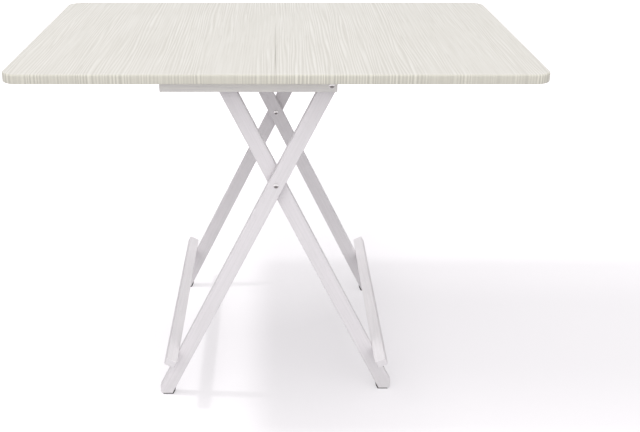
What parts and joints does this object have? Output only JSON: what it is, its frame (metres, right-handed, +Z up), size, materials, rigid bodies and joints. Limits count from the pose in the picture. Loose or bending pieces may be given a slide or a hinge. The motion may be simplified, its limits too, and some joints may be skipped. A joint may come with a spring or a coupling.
{
  "type": "folding dining table",
  "caption": "Folding dining table: a rounded rectangular top on crossed lath legs with base bars. Outer legs hinge on rails, the inner frame unhooks and all folds flat.",
  "frame": {"origin": "on the floor, below the middle of the tabletop", "axes": "+X along the top towards the hinge end, +Y across the top to the rear, +Z up"},
  "size_m": [1, 0.6, 0.75],
  "materials": {
    "film_board": "satin pale wood-grain film over board",
    "painted_wood": "satin white paint",
    "bolt_steel": "nickel plated",
    "screw_steel": "zinc plated",
    "pad_rubber": "matt",
    "catch_plastic": "moulded matt",
    "nylon": "natural nylon"
  },
  "bodies": {
    "tabletop_unit": {"tabletop": "film_board", "front_rail": "painted_wood", "rear_rail": "painted_wood", "front_rail_screws": "screw_steel", "rear_rail_screws": "screw_steel", "front_catch": "catch_plastic", "rear_catch": "catch_plastic", "front_catch_screws": "screw_steel", "rear_catch_screws": "screw_steel"},
    "outer_leg_frame": {"outer_leg_front": "painted_wood", "outer_leg_rear": "painted_wood", "outer_base_bar": "painted_wood", "outer_bar_screws": "screw_steel", "outer_front_foot_pad": "pad_rubber", "outer_rear_foot_pad": "pad_rubber", "front_hinge_insert": "bolt_steel", "rear_hinge_insert": "bolt_steel", "front_hinge_spacer": "nylon", "rear_hinge_spacer": "nylon", "front_hinge_bolt": "bolt_steel", "rear_hinge_bolt": "bolt_steel"},
    "inner_leg_frame": {"inner_leg_front": "painted_wood", "inner_leg_rear": "painted_wood", "inner_base_bar": "painted_wood", "inner_bar_screws": "screw_steel", "inner_front_foot_pad": "pad_rubber", "inner_rear_foot_pad": "pad_rubber", "top_dowel": "painted_wood", "dowel_screws": "screw_steel", "front_pivot_bolt": "bolt_steel", "rear_pivot_bolt": "bolt_steel", "front_pivot_washer": "nylon", "rear_pivot_washer": "nylon", "front_pivot_nut": "bolt_steel", "rear_pivot_nut": "bolt_steel"}
  },
  "joints": [
    {"name": "outer_leg_fold", "type": "hinge", "parent": "tabletop_unit", "child": "outer_leg_frame", "pos_m": [0.104, 0, 0.715], "axis": [0, -1, 0], "range_deg": [0, 115]},
    {"name": "inner_leg_scissor", "type": "hinge", "parent": "outer_leg_frame", "child": "inner_leg_frame", "pos_m": [0, 0, 0.50211], "axis": [0, 1, 0], "range_deg": [0, 51.2]}
  ],
  "couplings": [
    {"joint": "inner_leg_scissor", "follows": "outer_leg_fold", "ratio": 0.4452}
  ]
}
